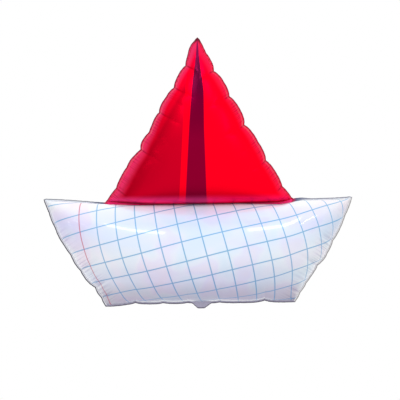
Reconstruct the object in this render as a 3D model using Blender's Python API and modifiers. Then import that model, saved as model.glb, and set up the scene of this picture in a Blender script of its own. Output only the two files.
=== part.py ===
"""Foil balloon in the shape of a folded paper sailboat.

Two sheets of metallised film lie face to face and are heat-sealed round the boat's outline and
along the line where the sail meets the hull. Gas swells the hull to a round pillow and the sail to
a three-cornered one, and the seams, which can't stretch or shrink, gather into puckers.

X runs along the boat, Z is up, and the printed front faces -Y. The origin is the middle of the
tail's lower edge, where the balloon is tied and held. The front half is modelled up to the plane
of the seams and mirrored to the back.
"""

import math

import bmesh
import bpy
from mathutils import Vector

# Hull, measured at the inner edge of its seams
FOOT_WIDTH = 0.484
HULL_HEIGHT = 0.251
HULL_DEPTH = 0.250
LEFT_HORN_REACH = 0.398
RIGHT_HORN_REACH = 0.391
HULL_END_RUN = 0.240
LEFT_SIDE_BOW = 0.017
RIGHT_SIDE_BOW = 0.016

# How far the hull's top climbs to each horn, and from where to where along X
LEFT_HORN_RISE = (0.018, 0.110, 0.370)
RIGHT_HORN_RISE = (0.0113, 0.198, 0.264)

# Sail, measured at the inner edge of its seams
SAIL_WIDTH = 0.474
SAIL_HEIGHT = 0.424
SAIL_DEPTH = 0.185
SAIL_LEAN = 0.003

# Powers of the sail's swell for its base, right and left seams: the lower one is, the flatter the
# face and the steeper the edge
SAIL_FULLNESS = (0.26, 0.38, 0.38)

# Printed fields of the sail, as shares of its width
STRIPE_START = 0.395
WEDGE_START = 0.430
WEDGE_END = 0.540

# Sealed film round the outline, the weld under the sail, and the tail at the foot
SEAM_WIDTH = 0.005
SEAM_THICKNESS = 0.0003
CORNER_REACH = 0.006
WELD_WIDTH = 0.004
TAIL_DROP = 0.012
TAIL_LEFT = 0.022
TAIL_RIGHT = 0.026
TAIL_TIP_WIDTH = 0.018

# A pucker draws the seam in to a point; it eases away along the seam and into the panel
PUCKER_SPREAD = 0.014
PUCKER_REACH = 0.028
CREASE_SOFTNESS = 0.060

# Puckers of each seam: how far along the seam, as a share of it, and how deep in metres
SAIL_RIGHT_PUCKERS = (
    (0.085, 0.006), (0.25, 0.008), (0.36, 0.002), (0.475, 0.010), (0.65, 0.008), (0.81, 0.010),
    (0.915, 0.003),
)
SAIL_LEFT_PUCKERS = (
    (0.155, 0.007), (0.29, 0.008), (0.355, 0.002), (0.445, 0.006), (0.565, 0.003), (0.668, 0.010),
    (0.79, 0.003), (0.915, 0.004),
)
HULL_RIGHT_PUCKERS = (
    (0.085, 0.004), (0.18, 0.002), (0.36, 0.006), (0.50, 0.002), (0.61, 0.005), (0.85, 0.002),
)
HULL_LEFT_PUCKERS = (
    (0.10, 0.002), (0.235, 0.002), (0.40, 0.001), (0.49, 0.003), (0.645, 0.004), (0.83, 0.008),
    (0.93, 0.005),
)
FOOT_PUCKERS = ((0.15, 0.005), (0.30, 0.003), (0.43, 0.003), (0.60, 0.003), (0.84, 0.006))

# Smooth swings of each seam: where its middle is, how far in it goes, less than 0 being out, and
# how far along the seam it has eased to a third, in metres
SAIL_RIGHT_SWINGS = ((0.20, 0.002, 0.060), (0.45, 0.002, 0.030))
SAIL_LEFT_SWINGS = (
    (0.05, -0.0055, 0.022), (0.24, 0.0025, 0.060), (0.55, 0.0065, 0.040), (0.70, 0.004, 0.020),
    (0.90, 0.002, 0.050),
)
HULL_RIGHT_SWINGS = ((0.25, 0.007, 0.045), (0.68, 0.002, 0.060))
HULL_LEFT_SWINGS = ((0.25, -0.0015, 0.055), (0.47, 0.0015, 0.030), (1.0, -0.004, 0.030))
FOOT_SWINGS = ((0.03, -0.0025, 0.035),)

# Mesh divisions
FREE_TOP_COLUMNS = 8
LEFT_SAIL_COLUMNS = 14
WEDGE_COLUMNS = 3
RIGHT_SAIL_COLUMNS = 16
HULL_ROWS = 18
SAIL_ROWS = 30

# Colours as linear RGB, with metallic and roughness
FINISHES = {
    "pearl_white_foil": ((0.78, 0.78, 0.90), 0.45, 0.22),
    "crimson_foil": ((0.52, 0.0, 0.02), 0.70, 0.25),
    "bright_red_foil": ((0.95, 0.0, 0.012), 0.70, 0.25),
    "maroon_foil": ((0.26, 0.0, 0.025), 0.70, 0.25),
    "sealed_film": ((0.20, 0.12, 0.16), 0.60, 0.30),
}
SMOOTH_ANGLE = math.radians(30)
MERGE_DISTANCE = 0.00005

# Levels worked out from the sizes
SEAM_FACE = -SEAM_THICKNESS / 2
FOOT_LEVEL = TAIL_DROP + SEAM_WIDTH
HULL_TOP = FOOT_LEVEL + HULL_HEIGHT
SAIL_BASE = HULL_TOP + WELD_WIDTH


def ease(share):
    """Smooth step from 0 to 1."""
    share = min(max(share, 0.0), 1.0)
    return share * share * (3 - 2 * share)


def round_ends(count):
    """Shares from 0 to 1, close together at both ends, where a pillow is steep."""
    return [0.5 - 0.5 * math.cos(math.pi * step / count) for step in range(count + 1)]


def round_start(count):
    """Shares from 0 to 1, close together at 0."""
    return [1 - math.cos(0.5 * math.pi * step / count) for step in range(count + 1)]


def spread(start, end, shares):
    """Values from start to end at the shares, without the first."""
    return [start + (end - start) * share for share in shares[1:]]


class Seam:
    """A straight seam of a panel, with the panel on its left, and what inflation does to it."""

    def __init__(self, start, end, bow=0.0, puckers=(), swings=()):
        run = Vector(end) - Vector(start)
        self.start = Vector(start)
        self.length = run.length
        self.along = run.normalized()
        self.inward = Vector((-self.along.y, self.along.x))
        self.bow = bow
        self.puckers = puckers
        self.swings = swings

    def distance(self, point):
        """How far a point of the flat panel lies in from the seam."""
        return max((point - self.start).dot(self.inward), 0.0)

    def fade(self, point):
        """What is left of the seam's gathers at a point of the flat panel."""
        return math.exp(-self.distance(point) / PUCKER_REACH)

    def gather(self, point):
        """How far the puckers draw in the film at a point of the flat panel."""
        place = (point - self.start).dot(self.along)
        drawn = 0.0
        for share, depth in self.puckers:
            drawn += depth * math.exp(-abs(place - share * self.length) / PUCKER_SPREAD)
        return drawn * self.fade(point)

    def swing(self, point):
        """How far the swings move in the film at a point of the flat panel."""
        place = (point - self.start).dot(self.along)
        moved = 0.0
        for share, depth, reach in self.swings:
            moved += depth * math.exp(-(((place - share * self.length) / reach) ** 2))
        return moved * self.fade(point)

    def bulge(self, point):
        """How far the bow of the seam carries out a point, fading across the panel."""
        share = (point - self.start).dot(self.along) / self.length
        crown = 4 * share * (1 - share)
        return self.bow * max(crown, 0.0) * max(1 - self.distance(point) / HULL_END_RUN, 0.0)


LEFT_FOOT = (-FOOT_WIDTH / 2, FOOT_LEVEL)
RIGHT_FOOT = (FOOT_WIDTH / 2, FOOT_LEVEL)
LEFT_HORN = (-LEFT_HORN_REACH, HULL_TOP)
RIGHT_HORN = (RIGHT_HORN_REACH, HULL_TOP)
LEFT_CORNER = (-SAIL_WIDTH / 2, SAIL_BASE)
RIGHT_CORNER = (SAIL_WIDTH / 2, SAIL_BASE)
SAIL_TIP = (SAIL_LEAN, SAIL_BASE + SAIL_HEIGHT)

FOOT_SEAM = Seam(LEFT_FOOT, RIGHT_FOOT, 0.0, FOOT_PUCKERS, FOOT_SWINGS)
HULL_RIGHT_SEAM = Seam(
    RIGHT_FOOT, RIGHT_HORN, RIGHT_SIDE_BOW, HULL_RIGHT_PUCKERS, HULL_RIGHT_SWINGS
)
HULL_TOP_SEAM = Seam(RIGHT_HORN, LEFT_HORN)
HULL_LEFT_SEAM = Seam(LEFT_HORN, LEFT_FOOT, LEFT_SIDE_BOW, HULL_LEFT_PUCKERS, HULL_LEFT_SWINGS)
SAIL_BASE_SEAM = Seam(LEFT_CORNER, RIGHT_CORNER)
SAIL_RIGHT_SEAM = Seam(RIGHT_CORNER, SAIL_TIP, 0.0, SAIL_RIGHT_PUCKERS, SAIL_RIGHT_SWINGS)
SAIL_LEFT_SEAM = Seam(SAIL_TIP, LEFT_CORNER, 0.0, SAIL_LEFT_PUCKERS, SAIL_LEFT_SWINGS)
HULL_SEAMS = (FOOT_SEAM, HULL_RIGHT_SEAM, HULL_TOP_SEAM, HULL_LEFT_SEAM)
SAIL_SEAMS = (SAIL_BASE_SEAM, SAIL_RIGHT_SEAM, SAIL_LEFT_SEAM)


def horn_rise(x):
    """How far the weld line climbs above its level middle, towards a horn."""
    rise, start, end = LEFT_HORN_RISE if x < 0 else RIGHT_HORN_RISE
    return rise * ease((abs(x) - start) / (end - start))


def hull_swell(point):
    """Half depth of the hull: a circle across it, closing in over a run at either end."""
    below = FOOT_SEAM.distance(point)
    above = HULL_TOP_SEAM.distance(point)
    section = 2 * math.sqrt(below * above) / HULL_HEIGHT
    for seam in (HULL_LEFT_SEAM, HULL_RIGHT_SEAM):
        missing = max(1 - seam.distance(point) / HULL_END_RUN, 0.0)
        section *= math.sqrt(1 - missing * missing)
    return HULL_DEPTH / 2 * section


def sail_swell(point):
    """Half depth of the sail: the product of powers of its distances from the three seams."""
    product = 1.0
    middle = (Vector(LEFT_CORNER) + Vector(RIGHT_CORNER) + Vector(SAIL_TIP)) / 3
    for seam, power in zip(SAIL_SEAMS, SAIL_FULLNESS):
        product *= (seam.distance(point) / seam.distance(middle)) ** power
    return SAIL_DEPTH / 2 * product


def inflate(point, seams, swell, lift):
    """Carries a point of a flat panel to its place on the inflated front."""
    gathers = [seam.gather(point) for seam in seams]
    place = point.copy()
    for seam, gather in zip(seams, gathers):
        place += seam.inward * (gather + seam.swing(point) - seam.bulge(point))
    depth = swell(point) * math.exp(-sum(gathers) / CREASE_SOFTNESS)
    return Vector((place.x, SEAM_FACE - depth, place.y + lift))


def hull_grid(mesh, top, bottom):
    """Rows of vertices from the foot seam up to the hull's top, between its two end seams."""
    rows = []
    for share in round_ends(HULL_ROWS):
        row = []
        for foot_x, top_x in zip(bottom, top):
            flat = Vector((foot_x, FOOT_LEVEL)).lerp(Vector((top_x, HULL_TOP)), share)
            lift = horn_rise(flat.x) * share
            row.append(mesh.verts.new(inflate(flat, HULL_SEAMS, hull_swell, lift)))
        rows.append(row)
    return rows


def sail_grid(mesh, base):
    """Rows of vertices from the sail's base up to its tip, which closes to a single vertex."""
    rows = []
    for share in round_ends(SAIL_ROWS)[:-1]:
        row = []
        for x in base:
            flat = Vector((x, SAIL_BASE)).lerp(Vector(SAIL_TIP), share)
            lift = horn_rise(x) * (1 - share)
            row.append(mesh.verts.new(inflate(flat, SAIL_SEAMS, sail_swell, lift)))
        rows.append(row)
    tip = inflate(Vector(SAIL_TIP), SAIL_SEAMS, sail_swell, 0.0)
    rows.append([mesh.verts.new(tip)] * len(base))
    return rows


def skin(mesh, rows, slots):
    """Faces between the rows of a grid, with one material slot for each column."""
    for lower, upper in zip(rows, rows[1:]):
        for column, slot in enumerate(slots):
            corners = [lower[column], lower[column + 1], upper[column + 1], upper[column]]
            face = mesh.faces.new(list(dict.fromkeys(corners)))
            face.material_index = slot


def tail_drop(x):
    """How far the tail hangs below the foot seam at x."""
    root = TAIL_LEFT if x < 0 else TAIL_RIGHT
    return TAIL_DROP * min(max((root - abs(x)) / (root - TAIL_TIP_WIDTH / 2), 0.0), 1.0)


def outer_vertex(mesh, vertex, seams):
    """The vertex of the sealed rim's outer edge, square out from one seam or mitred at two.

    A mitre reaches no farther than CORNER_REACH, so the sharp corners are blunt.
    """
    first = -seams[0].inward
    second = -seams[-1].inward
    out = (first + second) / (1 + first.dot(second)) * SEAM_WIDTH
    if out.length > CORNER_REACH:
        out = out.normalized() * CORNER_REACH
    place = vertex.co + Vector((out.x, 0.0, out.y))
    drop = tail_drop(place.x)
    if seams == (FOOT_SEAM,) and drop > 0:
        place.z = FOOT_LEVEL - SEAM_WIDTH - drop
    return mesh.verts.new(place)


def seam_pairs(mesh, hull, sail, first_column, last_column):
    """Pairs of film and rim vertices round the whole outline, seen counter-clockwise from the front."""
    pairs = []

    def follow(vertices, seam):
        for vertex in vertices:
            pairs.append((vertex, outer_vertex(mesh, vertex, (seam,))))

    def corner(vertices, before, after):
        rim = outer_vertex(mesh, vertices[0], (before, after))
        for vertex in vertices:
            pairs.append((vertex, rim))

    top = hull[-1]
    corner([hull[0][0]], HULL_LEFT_SEAM, FOOT_SEAM)
    follow(hull[0][1:-1], FOOT_SEAM)
    corner([hull[0][-1]], FOOT_SEAM, HULL_RIGHT_SEAM)
    follow([row[-1] for row in hull[1:-1]], HULL_RIGHT_SEAM)
    corner([top[-1]], HULL_RIGHT_SEAM, HULL_TOP_SEAM)
    follow(top[-2:last_column:-1], HULL_TOP_SEAM)
    corner([top[last_column], sail[0][-1]], HULL_TOP_SEAM, SAIL_RIGHT_SEAM)
    follow([row[-1] for row in sail[1:-1]], SAIL_RIGHT_SEAM)
    corner([sail[-1][0]], SAIL_RIGHT_SEAM, SAIL_LEFT_SEAM)
    follow([row[0] for row in sail[-2:0:-1]], SAIL_LEFT_SEAM)
    corner([sail[0][0], top[first_column]], SAIL_LEFT_SEAM, HULL_TOP_SEAM)
    follow(top[first_column - 1:0:-1], HULL_TOP_SEAM)
    corner([top[0]], HULL_TOP_SEAM, HULL_LEFT_SEAM)
    follow([row[0] for row in hull[-2:0:-1]], HULL_LEFT_SEAM)
    return pairs


def seal(mesh, pairs, slot):
    """The flat sealed rim outside the film, and its edge as far as the plane of the seams."""
    middle = {}
    for film, rim in pairs:
        if rim not in middle:
            middle[rim] = mesh.verts.new((rim.co.x, 0.0, rim.co.z))
    for (film, rim), (next_film, next_rim) in zip(pairs, pairs[1:] + pairs[:1]):
        corners = [rim, next_rim, next_film, film]
        mesh.faces.new(list(dict.fromkeys(corners))).material_index = slot
        if rim is not next_rim:
            mesh.faces.new([next_rim, rim, middle[rim], middle[next_rim]]).material_index = slot


def front_half():
    """Mesh of the front film, its sealed rim and the weld, open at the plane of the seams."""
    stripe, wedge = STRIPE_START, WEDGE_START
    shares = [0.0] + spread(0.0, stripe, round_start(LEFT_SAIL_COLUMNS)) + [wedge]
    shares += spread(wedge, WEDGE_END, [step / WEDGE_COLUMNS for step in range(WEDGE_COLUMNS + 1)])
    right_side = [1 - share for share in reversed(round_start(RIGHT_SAIL_COLUMNS))]
    shares += spread(WEDGE_END, 1.0, right_side)
    names = list(FINISHES)
    pearl, crimson, bright, maroon, sealed = range(len(names))
    sail_slots = [crimson] * LEFT_SAIL_COLUMNS + [bright] + [maroon] * WEDGE_COLUMNS
    sail_slots += [bright] * RIGHT_SAIL_COLUMNS

    base = [LEFT_CORNER[0] + SAIL_WIDTH * share for share in shares]
    near_horn = round_ends(FREE_TOP_COLUMNS)
    left_top = [LEFT_HORN[0]] + spread(LEFT_HORN[0], LEFT_CORNER[0], near_horn)
    right_top = spread(RIGHT_CORNER[0], RIGHT_HORN[0], near_horn)
    top = left_top + base[1:] + right_top
    count = len(top) - 1
    bottom = [LEFT_FOOT[0] + FOOT_WIDTH * step / count for step in range(count + 1)]
    first_column = FREE_TOP_COLUMNS
    last_column = first_column + len(base) - 1

    mesh = bmesh.new()
    hull = hull_grid(mesh, top, bottom)
    sail = sail_grid(mesh, base)
    skin(mesh, hull, [pearl] * count)
    skin(mesh, sail, sail_slots)
    skin(mesh, [hull[-1][first_column:last_column + 1], sail[0]], [sealed] * len(sail_slots))
    seal(mesh, seam_pairs(mesh, hull, sail, first_column, last_column), sealed)
    return mesh


def foil_material(name):
    """Metallised film in one printed colour."""
    colour, metallic, roughness = FINISHES[name]
    material = bpy.data.materials.new(name)
    material.use_nodes = True
    shader = material.node_tree.nodes["Principled BSDF"]
    shader.inputs["Base Color"].default_value = (*colour, 1.0)
    shader.inputs["Metallic"].default_value = metallic
    shader.inputs["Roughness"].default_value = roughness
    material.diffuse_color = (*colour, 1.0)
    return material


def foil_envelope(collection):
    """The whole sealed envelope: the front half mirrored through the plane of the seams."""
    half = front_half()
    data = bpy.data.meshes.new("foil_envelope")
    half.to_mesh(data)
    half.free()
    data.shade_smooth()
    data.set_sharp_from_angle(angle=SMOOTH_ANGLE)
    for name in FINISHES:
        data.materials.append(foil_material(name))
    envelope = bpy.data.objects.new("foil_envelope", data)
    collection.objects.link(envelope)
    mirror = envelope.modifiers.new("back", "MIRROR")
    mirror.use_axis = (False, True, False)
    mirror.merge_threshold = MERGE_DISTANCE
    return envelope


def main():
    for item in list(bpy.data.objects):
        bpy.data.objects.remove(item, do_unlink=True)
    collection = bpy.data.collections.new("sailboat_foil_balloon")
    bpy.context.scene.collection.children.link(collection)
    foil_envelope(collection)


main()
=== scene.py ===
"""Looks of a foil balloon in the shape of a folded paper sailboat.

Two sheets of metallised film are heat-sealed round the outline and along the line where the sail
meets the hull. Gas swells both to pillows, and the seams, which can't stretch or shrink, gather
into puckers. The hull is printed as ruled paper on pearly film, the sail as folded red paper.

Every surface is a function of two parameters, worked out on a grid in the row frame: X along the
boat, Z up, and the printed front towards -Y. Lengths are in metres where nothing else is said.
"""

import logging
import math
from abc import ABC, abstractmethod
from collections.abc import Mapping, Sequence
from dataclasses import dataclass, replace
from enum import Enum
from functools import partial

import bpy
import numpy as np
import numpy.typing as npt
from mathutils import Matrix, Vector


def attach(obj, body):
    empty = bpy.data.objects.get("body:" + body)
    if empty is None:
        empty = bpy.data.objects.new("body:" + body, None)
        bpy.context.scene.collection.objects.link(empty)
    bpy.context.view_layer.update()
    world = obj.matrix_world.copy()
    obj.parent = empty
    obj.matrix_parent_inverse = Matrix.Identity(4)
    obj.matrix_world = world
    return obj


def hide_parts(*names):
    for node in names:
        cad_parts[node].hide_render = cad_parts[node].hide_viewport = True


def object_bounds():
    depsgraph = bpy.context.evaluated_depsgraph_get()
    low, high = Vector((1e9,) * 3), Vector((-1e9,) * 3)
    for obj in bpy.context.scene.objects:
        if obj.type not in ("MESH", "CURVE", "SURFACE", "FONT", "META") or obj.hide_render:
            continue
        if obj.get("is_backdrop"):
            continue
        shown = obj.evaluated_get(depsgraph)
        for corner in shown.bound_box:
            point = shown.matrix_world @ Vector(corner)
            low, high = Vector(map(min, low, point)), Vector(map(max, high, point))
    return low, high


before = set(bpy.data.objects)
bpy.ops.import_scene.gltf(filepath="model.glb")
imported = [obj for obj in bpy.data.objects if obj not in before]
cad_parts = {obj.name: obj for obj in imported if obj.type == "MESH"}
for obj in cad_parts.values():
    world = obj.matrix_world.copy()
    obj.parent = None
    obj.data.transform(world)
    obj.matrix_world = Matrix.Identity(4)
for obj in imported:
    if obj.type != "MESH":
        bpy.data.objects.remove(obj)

Array = npt.NDArray[np.float64]
Ids = npt.NDArray[np.int64]
Marks = tuple[tuple[float, float], ...]
Stops = tuple[tuple[float, str], ...]

LOG = logging.getLogger("sailboat_balloon")
BODY = "root"
SOLID = "foil_envelope"
MM = 0.001

# Pitch of the printed ruling along the hull and across it, in mm.
SQUARE = (53.3, 50.6)

# Pitch of the small seeded puckers, and the ranges of their places within it as shares, and of
# their depths, spreads and creases.
SMALL_PITCH = 0.016
SMALL_RANGES = ((0.15, 0.85), (0.0001, 0.0007), (0.0025, 0.0050), (0.010, 0.026))

# Settings that many nodes share.
SMOOTH = {"interpolation_type": "SMOOTHSTEP"}
LAID_OVER = {"data_type": "RGBA"}
TINTED = {"data_type": "RGBA", "blend_type": "MULTIPLY"}


class Layer(Enum):
    """Names of the UV maps and attributes that the finishes read."""

    RULING = "ruling"
    PANEL = "panel"
    SIDES = "sides"
    SEAM = "seam"
    FOLD = "fold"
    INK = "ink"


def linear(code: str) -> tuple[float, float, float, float]:
    """Turns an sRGB hex colour, written "#rrggbb", to linear RGBA with an alpha of 1."""
    parts = np.array([int(code[i : i + 2], 16) for i in (1, 3, 5)]) / 255
    flat = np.where(parts <= 0.04045, parts / 12.92, ((parts + 0.055) / 1.055) ** 2.4)
    return (*(float(part) for part in flat), 1.0)


def ease(share: Array) -> Array:
    """Smooth step of shares from 0 to 1: three times the square less twice the cube."""
    share = np.clip(share, 0.0, 1.0)
    return share * share * (3 - 2 * share)


def crowded_ends(count: int) -> Array:
    """Shares from 0 to 1, half even and half on a cosine, so closer together at both ends."""
    even = np.linspace(0.0, 1.0, count + 1)
    return 0.5 * even + 0.5 * (0.5 - 0.5 * np.cos(math.pi * even))


@dataclass(frozen=True)
class Pucker:
    """A place where a seam gathers the film.

    Attributes:
        share: Where it lies, as a share of the seam's length.
        depth: How far it draws the film in at the seam.
        spread: How fast it eases away along the seam.
        crease: How far into the panel its crease runs before it fades.
    """

    share: float
    depth: float
    spread: float = 0.014
    crease: float = 0.038


@dataclass(frozen=True)
class Swing:
    """A stretch of a seam that swings smoothly in or out.

    Attributes:
        share: Where its middle lies, as a share of the seam's length.
        depth: How far it swings in; less than 0 is out.
        reach: How far along the seam it has eased to a third.
    """

    share: float
    depth: float
    reach: float


@dataclass(frozen=True)
class Seam:
    """A straight seam of a flat panel, with the panel on its left.

    Attributes:
        start: Where it starts, as (x, z).
        end: Where it ends, as (x, z).
        bow: How far gas carries out its middle.
        bow_run: How far into the panel the bow fades.
        overhang: How far the swollen film beside it stands out over it.
        puckers: Its gathers.
        swings: Its smooth swings.
    """

    start: tuple[float, float]
    end: tuple[float, float]
    bow: float = 0.0
    bow_run: float = 0.240
    overhang: float = 0.0
    puckers: tuple[Pucker, ...] = ()
    swings: tuple[Swing, ...] = ()

    @property
    def length(self) -> float:
        """Its length."""
        return math.dist(self.start, self.end)

    @property
    def along(self) -> Array:
        """Unit vector from start to end."""
        return (np.array(self.end) - np.array(self.start)) / self.length

    @property
    def inward(self) -> Array:
        """Unit vector square to the seam, into the panel."""
        return np.array((-self.along[1], self.along[0]))

    def distance(self, flat: Array) -> Array:
        """How far flat points lie in from the seam."""
        return np.maximum((flat - np.array(self.start)) @ self.inward, 0.0)

    def place(self, flat: Array) -> Array:
        """How far along the seam flat points lie."""
        return (flat - np.array(self.start)) @ self.along

    def gather(
        self, flat: Array, fade: float = 0.022, sharp: float = 0.35
    ) -> tuple[Array, Array]:
        """What the puckers and swings do to the film.

        A pucker's depth is multiplied by the exponential of minus the distance along the seam
        over its spread, whose kink is the crease; the crease itself is narrower, by sharp. Into
        the panel, the film is drawn in by an exponential over fade, and creased by a bell curve
        over the crease's run. A swing is a bell curve along the seam, and doesn't crease it.

        Args:
            flat: Flat points as (x, z).
            fade: How fast the drawing in eases away into the panel.
            sharp: Width of a crease as a share of its pucker's spread.

        Returns:
            How far the film is drawn in, and how deeply it is creased.
        """
        place, distance = self.place(flat), self.distance(flat)
        drawn, creased = np.zeros(flat.shape[:-1]), np.zeros(flat.shape[:-1])
        for pucker in self.puckers:
            off = np.abs(place - pucker.share * self.length) / pucker.spread
            drawn += pucker.depth * np.exp(-off - distance / fade)
            creased += pucker.depth * np.exp(-off / sharp - (distance / pucker.crease) ** 2)
        for swing in self.swings:
            off = (place - swing.share * self.length) / swing.reach
            drawn += swing.depth * np.exp(-(off**2) - distance / fade)
        return drawn, creased

    def bulge(self, flat: Array, lip: float = 0.010) -> Array:
        """How far out gas carries points.

        The bow is a parabola along the seam and fades straight over bow_run. The overhang is the
        same parabola times d e^(1 - d), with d the distance from the seam over the lip.

        Args:
            flat: Flat points as (x, z).
            lip: How far in from the seam the overhang is fullest.

        Returns:
            The distance outwards.
        """
        share = self.place(flat) / self.length
        crown = np.maximum(4 * share * (1 - share), 0.0)
        distance = self.distance(flat)
        bowed = self.bow * np.maximum(1 - distance / self.bow_run, 0.0)
        hanging = self.overhang * distance / lip * np.exp(1 - distance / lip)
        return crown * (bowed + hanging)


def puckered(marks: Marks, length: float, seed: int) -> tuple[Pucker, ...]:
    """The measured puckers of a seam, with small seeded ones between them.

    Args:
        marks: For each measured pucker, its share along the seam and its depth.
        length: The seam's length.
        seed: Start of the random series for the small ones.

    Returns:
        All the puckers of the seam.
    """
    chance = np.random.default_rng(seed)
    count = int(length / SMALL_PITCH)
    places, depths, spreads, creases = (chance.uniform(*span, count) for span in SMALL_RANGES)
    shares = (np.arange(count) + places) / count
    large = [Pucker(share, depth) for share, depth in marks]
    small = [Pucker(*values) for values in zip(shares, depths, spreads, creases)]
    return (*large, *small)


def inflate(
    flat: Array, seams: Sequence[Seam], swell: Array, lift: Array, softness: float = 0.085
) -> Array:
    """Carries flat points to their places on the inflated front.

    A point moves in as far as each seam draws it and out by its bulge. It comes forward by the
    swell, times the exponential of minus all the creasing over the softness. Creases fade as the
    square of how near the next seam is against the nearest, so none crosses the middle.

    Args:
        flat: Flat points as (x, z).
        seams: The panel's seams.
        swell: Half depth of the smooth pillow at each point.
        lift: How far each point is raised.
        softness: Creasing that takes the swell down to about a third.

    Returns:
        Points as (x, y, z).
    """
    place = flat.copy()
    total = np.zeros(flat.shape[:-1])
    for seam in seams:
        drawn, creased = seam.gather(flat)
        total += creased
        place += (drawn - seam.bulge(flat))[..., None] * seam.inward
    first, second = np.sort([seam.distance(flat) for seam in seams], axis=0)[:2]
    total = total * (1 - (first / np.maximum(second, 1e-9)) ** 2)
    forward = swell * np.exp(-total / softness)
    return np.stack([place[..., 0], -forward, place[..., 1] + lift], axis=-1)


def seam_places(flat: Array, seams: Sequence[Seam]) -> Array:
    """How far along its nearest seam each flat point lies, and how far in from it.

    Each seam carries on from the length of the last.
    """
    distances = np.stack([seam.distance(flat) for seam in seams])
    offsets = np.cumsum([0.0, *(seam.length for seam in seams[:-1])])
    places = np.stack([seam.place(flat) + offset for seam, offset in zip(seams, offsets)])
    nearest = np.argmin(distances, axis=0)[None]
    pairs = [np.take_along_axis(values, nearest, axis=0)[0] for values in (places, distances)]
    return np.stack(pairs, axis=-1)


def fold_lines(
    flat: Array, runs: Mapping[Seam, float], least: float = 0.0035, width: float = 0.0018
) -> Array:
    """How near flat points lie to the crease of a large pucker, from 1 on it to 0.

    It is a bell curve across the crease, times 1 less the square of the share of its run. The
    finishes lay painted shade along these lines.

    Args:
        flat: Flat points as (x, z).
        runs: For each seam with its puckers, how far into the panel its creases show.
        least: Depth of the smallest pucker that counts.
        width: Distance to the side at which it is down to a third.

    Returns:
        The nearness, twice over, to fill a UV map.
    """
    lines = np.zeros(flat.shape[:-1])
    for seam, run in runs.items():
        place = seam.place(flat)
        fading = np.clip(1 - (seam.distance(flat) / run) ** 2, 0.0, 1.0)
        for pucker in seam.puckers:
            if pucker.depth >= least:
                off = (place - pucker.share * seam.length) / width
                lines = np.maximum(lines, np.exp(-(off**2)) * fading)
    return np.stack([lines, lines], axis=-1)


def linked(data: bpy.types.ID) -> bpy.types.Object:
    """Links an object that shows a mesh, a lamp or a camera, and takes its name."""
    shown = bpy.data.objects.new(data.name, data)
    bpy.context.scene.collection.objects.link(shown)
    return shown


def as_piece(mesh: bpy.types.Mesh, material: bpy.types.Material) -> bpy.types.Object:
    """Links a finished mesh as a piece that rides on the row's body and replaces the solid.

    Args:
        mesh: The mesh, in the row frame. The piece takes its name.
        material: Its finish.

    Returns:
        The piece.
    """
    mesh.materials.append(material)
    piece = linked(mesh)
    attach(piece, BODY)
    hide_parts(SOLID)
    LOG.info("%s: %d vertices, %d faces", piece.name, len(mesh.vertices), len(mesh.polygons))
    return piece


def ink_points(mesh: bpy.types.Mesh, colours: Array) -> None:
    """Stores the linear colour of each vertex, which the sealed film's finish reads."""
    layer = mesh.attributes.new(Layer.INK.value, "FLOAT_COLOR", "POINT")
    layer.data.foreach_set("color", colours.astype(np.float32).ravel())


def closed_film(name: str, front: Array, layers: Mapping[Layer, Array]) -> bpy.types.Mesh:
    """Two sheets of film that meet at the edges of a grid.

    The back is the front mirrored through the plane of the seams. Both share the vertices of the
    grid's edges, and a last row whose points all fall together closes to one vertex.

    Args:
        name: Name of the mesh.
        front: Rows and columns of points on the front, with the edges at y = 0.
        layers: UV coordinates for the points of the grid, by layer.

    Returns:
        The closed mesh, shaded smooth, with its UV maps.
    """
    rows, columns = front.shape[:2]
    grid = np.arange(rows * columns).reshape(rows, columns)
    front_ids, back_ids = grid.copy(), grid.copy()
    has_pole = bool(np.allclose(front[-1], front[-1, :1]))
    if has_pole:
        front_ids[-1] = back_ids[-1] = grid[-1, 0]
    back_ids[1:-1, 1:-1] += rows * columns
    front = front.copy()
    front[[0, -1], :, 1] = 0.0
    front[:, [0, -1], 1] = 0.0
    points = np.concatenate([front.reshape(-1, 3), (front * (1, -1, 1)).reshape(-1, 3)])

    low, high = slice(None, -1), slice(1, None)
    turns = ((low, low), (low, high), (high, high), (high, low))
    faces: list[Ids] = []
    corners: list[Ids] = []
    for ids, order in ((front_ids, (0, 1, 2, 3)), (back_ids, (0, 3, 2, 1))):
        quads, spots = (
            np.stack([values[turns[turn]] for turn in order], axis=-1) for values in (ids, grid)
        )
        last = rows - 2 if has_pole else rows - 1
        faces.append(quads[:last].reshape(-1, 4))
        corners.append(spots[:last].ravel())
        if has_pole:
            kept = [place for place, turn in enumerate(order) if turn != 2]
            faces.append(quads[last][:, kept])
            corners.append(spots[last][:, kept].ravel())
    used, numbers = np.unique(np.concatenate([part.ravel() for part in faces]), return_inverse=True)
    ends = np.cumsum([part.size for part in faces])[:-1]
    lists: list[list[int]] = []
    for part, renumbered in zip(faces, np.split(numbers.ravel(), ends)):
        lists += renumbered.reshape(part.shape).tolist()
    mesh = bpy.data.meshes.new(name)
    mesh.from_pydata(points[used].tolist(), [], lists)
    for layer, values in layers.items():
        uv = mesh.uv_layers.new(name=layer.value)
        chosen = values.reshape(-1, 2)[np.concatenate(corners)]
        uv.data.foreach_set("uv", chosen.astype(np.float32).ravel())
    mesh.shade_smooth()
    return mesh


def set_inputs(
    tree: bpy.types.NodeTree, node: bpy.types.Node, inputs: Mapping[str | int, object]
) -> None:
    """Sets or links a node's inputs.

    Args:
        tree: The tree that it is in.
        node: The node.
        inputs: For each input, by name or number, a value to set, a socket to link, or a node
            whose first output is linked.
    """
    for key, value in inputs.items():
        if isinstance(value, bpy.types.Node):
            value = value.outputs[0]
        if isinstance(value, bpy.types.NodeSocket):
            tree.links.new(value, node.inputs[key])
        else:
            node.inputs[key].default_value = value


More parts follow.
